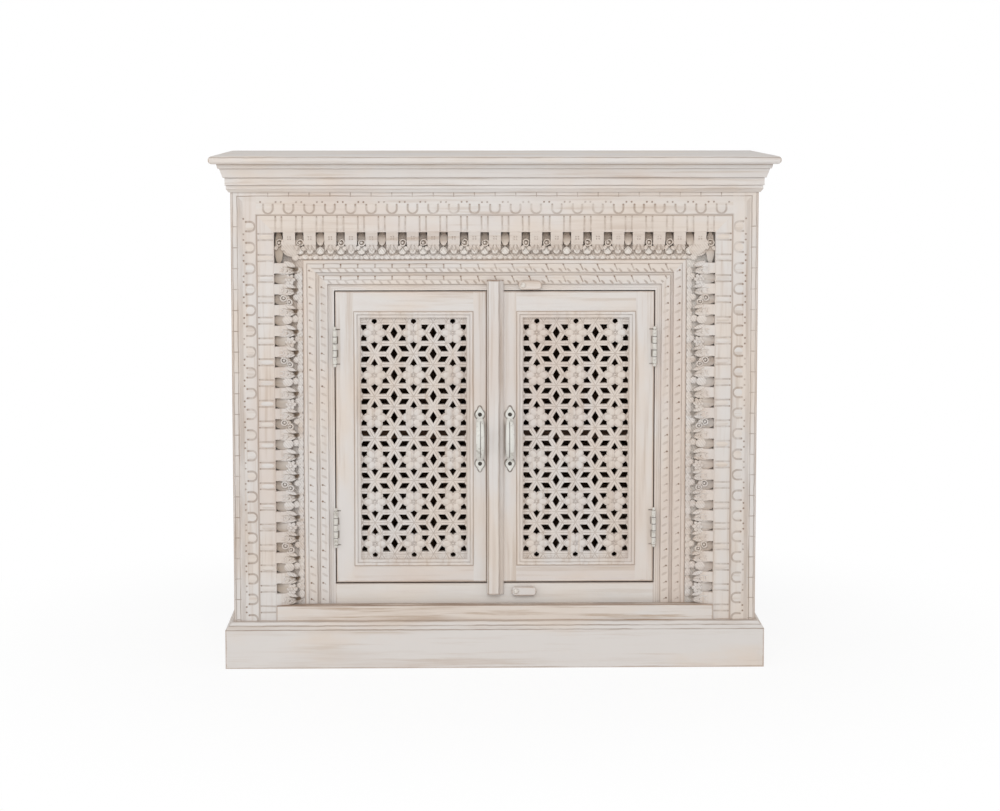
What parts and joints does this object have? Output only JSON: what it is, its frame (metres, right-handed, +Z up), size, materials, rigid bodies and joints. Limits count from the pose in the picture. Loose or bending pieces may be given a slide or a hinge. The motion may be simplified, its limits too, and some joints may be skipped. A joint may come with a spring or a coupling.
{
  "type": "carved cabinet",
  "caption": "Low whitewashed wooden cabinet: pierced lattice doors with bow handles hang in a deep carved surround, under a moulded top and on a plinth, with a shelf inside.",
  "frame": {"origin": "middle of the footprint, on the floor", "axes": "+Z up, +X to the right of someone facing the doors, and the doors face -Y"},
  "size_m": [0.996, 0.4, 0.908],
  "materials": {
    "whitewashed_wood": "matte",
    "bare_wood": "matte",
    "whitewashed_iron": "satin",
    "hinge_steel": "matte",
    "dark_screws": "matte"
  },
  "bodies": {
    "case": {"top_board": "whitewashed_wood", "cornice_front": "whitewashed_wood", "right_cornice": "whitewashed_wood", "left_cornice": "whitewashed_wood", "outer_frame_top": "whitewashed_wood", "right_outer_frame": "whitewashed_wood", "left_outer_frame": "whitewashed_wood", "arcade_top": "whitewashed_wood", "right_arcade": "whitewashed_wood", "left_arcade": "whitewashed_wood", "carved_panel_top": "whitewashed_wood", "right_carved_panel": "whitewashed_wood", "left_carved_panel": "whitewashed_wood", "inner_frame_top": "whitewashed_wood", "right_inner_frame": "whitewashed_wood", "left_inner_frame": "whitewashed_wood", "door_sill": "whitewashed_wood", "bottom_rail": "whitewashed_wood", "plinth_front": "whitewashed_wood", "right_plinth": "whitewashed_wood", "left_plinth": "whitewashed_wood", "plinth_back": "bare_wood", "corner_blocks": "bare_wood", "right_side_panel": "whitewashed_wood", "left_side_panel": "whitewashed_wood", "back_panel": "bare_wood", "bottom_board": "bare_wood", "shelf": "bare_wood", "shelf_cleats": "bare_wood", "top_cleats": "bare_wood", "right_case_leaves": "hinge_steel", "left_case_leaves": "hinge_steel", "right_hinge_pins": "hinge_steel", "left_hinge_pins": "hinge_steel", "turn_button_screws": "dark_screws"},
    "right_door": {"right_hinge_stile": "whitewashed_wood", "right_meeting_stile": "whitewashed_wood", "right_door_top_rail": "whitewashed_wood", "right_door_bottom_rail": "whitewashed_wood", "right_pierced_panel": "whitewashed_wood", "right_panel_moulding": "whitewashed_wood", "right_handle": "whitewashed_iron", "right_handle_screws": "dark_screws", "right_door_leaves": "hinge_steel", "cover_strip": "whitewashed_wood"},
    "left_door": {"left_hinge_stile": "whitewashed_wood", "left_meeting_stile": "whitewashed_wood", "left_door_top_rail": "whitewashed_wood", "left_door_bottom_rail": "whitewashed_wood", "left_pierced_panel": "whitewashed_wood", "left_panel_moulding": "whitewashed_wood", "left_handle": "whitewashed_iron", "left_handle_screws": "dark_screws", "left_door_leaves": "hinge_steel"},
    "top_turn_button": {"top_turn_button": "whitewashed_wood"},
    "bottom_turn_button": {"bottom_turn_button": "whitewashed_wood"}
  },
  "joints": [
    {"name": "right_door_hinge", "type": "hinge", "parent": "case", "child": "right_door", "pos_m": [0.283, -0.148, 0.408], "axis": [0, 0, 1], "range_deg": [0, 165]},
    {"name": "left_door_hinge", "type": "hinge", "parent": "case", "child": "left_door", "pos_m": [-0.283, -0.148, 0.408], "axis": [0, 0, -1], "range_deg": [0, 165]},
    {"name": "top_button_turn", "type": "hinge", "parent": "case", "child": "top_turn_button", "pos_m": [0.0497, -0.15, 0.6796], "axis": [0, 1, 0], "continuous": true},
    {"name": "bottom_button_turn", "type": "hinge", "parent": "case", "child": "bottom_turn_button", "pos_m": [0.0377, -0.148, 0.1314], "axis": [0, -1, 0], "range_deg": [-26, 118]}
  ]
}
